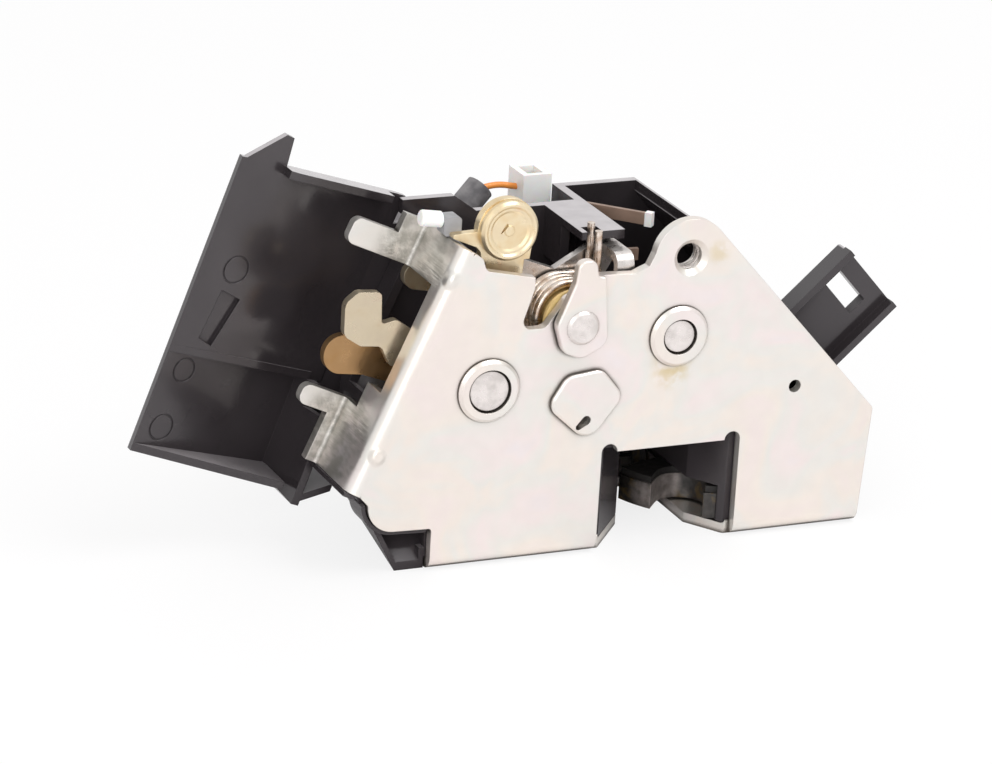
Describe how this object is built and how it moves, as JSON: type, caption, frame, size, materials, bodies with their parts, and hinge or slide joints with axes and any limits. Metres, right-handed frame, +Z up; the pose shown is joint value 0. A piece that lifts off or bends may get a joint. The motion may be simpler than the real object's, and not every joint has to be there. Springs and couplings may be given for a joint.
{
  "type": "door latch actuator",
  "caption": "Side door latch with bent steel plate, fishmouth, rotor and pawl, lever stack and motor driven lock in a black housing.",
  "frame": {"origin": "underside of the shut face, on the axis of its left rear threaded hole", "axes": "+X to the right along the side plate, +Y back from the side plate, +Z up from the shut face"},
  "size_m": [0.1541, 0.0541, 0.0789],
  "materials": {
    "zinc": "zinc plated and passivated sheet",
    "bright_steel": "bright turned rivets and bright zinc",
    "yellow_zinc": "yellow zinc plated lever steel",
    "black_plastic": "black moulded plastic, glossy",
    "case_plastic": "black moulded plastic of the motor case",
    "spring_steel": "oiled spring steel",
    "claw_steel": "greased rotor steel",
    "jacket_plastic": "plastic jacket of the rotor",
    "rubber": "rubber",
    "nylon_white": "natural nylon",
    "nylon_grey": "grey nylon",
    "drum_plastic": "yellow plastic drum",
    "wire_orange": "orange wire insulation",
    "contact_brown": "brown contact strip",
    "pin_brass": "tinned brass pins",
    "motor_steel": "motor can",
    "gear_plastic": "acetal gear"
  },
  "bodies": {
    "frame": {"side_plate": "zinc", "post_a": "bright_steel", "post_b": "bright_steel", "rivet_collars": "zinc", "patch_plate": "zinc", "post_spacers": "bright_steel", "release_spring": "spring_steel", "rotor_pivot": "bright_steel", "rotor_spring": "spring_steel", "pawl_pivot": "bright_steel", "pawl_spring": "spring_steel", "bridge_plate": "zinc", "bumper": "rubber", "latch_housing": "black_plastic", "wing_cover": "black_plastic", "actuator_case": "case_plastic", "actuator_lid": "case_plastic", "lid_screws": "bright_steel", "motor": "motor_steel", "grommet": "rubber", "orange_wire": "wire_orange", "connector": "nylon_white", "connector_pins": "pin_brass", "contact_strips": "contact_brown", "contact_tip": "nylon_white"},
    "rotor": {"rotor_claw": "claw_steel", "rotor_jacket": "jacket_plastic"},
    "pawl_arm": {"pawl": "bright_steel", "pawl_finger": "bright_steel"},
    "release": {"release_lever": "bright_steel", "release_shaft": "bright_steel", "release_crank": "zinc", "spring_drum": "drum_plastic"},
    "lock": {"lock_lever": "yellow_zinc", "lock_button": "yellow_zinc", "rod_clip": "nylon_grey", "rod_pin": "nylon_white"},
    "transfer": {"transfer_lever": "yellow_zinc"},
    "drive": {"worm_wheel": "gear_plastic", "drive_axle": "bright_steel", "drive_arm": "nylon_white"},
    "motor_shaft": {"worm": "pin_brass"},
    "outer_handle": {"outer_lever": "yellow_zinc"},
    "inner_handle": {"inner_lever": "yellow_zinc"}
  },
  "joints": [
    {"name": "rotor_turn", "type": "hinge", "parent": "frame", "child": "rotor", "pos_m": [0.061, -0.01, 0.0023], "axis": [0, 0, 1], "range_deg": [-45, 0], "stiffness_Nm_per_rad": 0.02},
    {"name": "release_turn", "type": "hinge", "parent": "frame", "child": "release", "pos_m": [0.019, -0.0246, 0.0455], "axis": [0, 1, 0], "range_deg": [-4.5, 6.5], "stiffness_Nm_per_rad": 0.15},
    {"name": "pawl_turn", "type": "hinge", "parent": "frame", "child": "pawl_arm", "pos_m": [0.033, 0.006, 0.0023], "axis": [0, 0, 1], "range_deg": [-5.66, 3.98]},
    {"name": "drive_turn", "type": "hinge", "parent": "frame", "child": "drive", "pos_m": [0.0186, -0.022, 0.0344], "axis": [0, 1, 0], "range_deg": [-14, 0]},
    {"name": "lock_turn", "type": "hinge", "parent": "frame", "child": "lock", "pos_m": [0.0018, -0.0313, 0.0344], "axis": [0, 1, 0], "range_deg": [0, 14]},
    {"name": "transfer_turn", "type": "hinge", "parent": "frame", "child": "transfer", "pos_m": [0.0018, -0.017, 0.0344], "axis": [0, 1, 0], "range_deg": [0, 14]},
    {"name": "worm_spin", "type": "hinge", "parent": "frame", "child": "motor_shaft", "pos_m": [-0.0044, 0.0035, 0.0452], "axis": [1, 0, 0], "range_deg": [-1, 281]},
    {"name": "outer_turn", "type": "hinge", "parent": "frame", "child": "outer_handle", "pos_m": [0.0018, -0.0289, 0.0344], "axis": [0, 1, 0], "range_deg": [-7, 0], "stiffness_Nm_per_rad": 0.05},
    {"name": "inner_turn", "type": "hinge", "parent": "frame", "child": "inner_handle", "pos_m": [0.0018, -0.0246, 0.0344], "axis": [0, 1, 0], "range_deg": [-7, 0], "stiffness_Nm_per_rad": 0.05}
  ],
  "couplings": [
    {"joint": "pawl_turn", "follows": "release_turn", "ratio": -0.84},
    {"joint": "lock_turn", "follows": "drive_turn", "ratio": -1},
    {"joint": "transfer_turn", "follows": "drive_turn", "ratio": -1},
    {"joint": "worm_spin", "follows": "drive_turn", "ratio": -20}
  ]
}
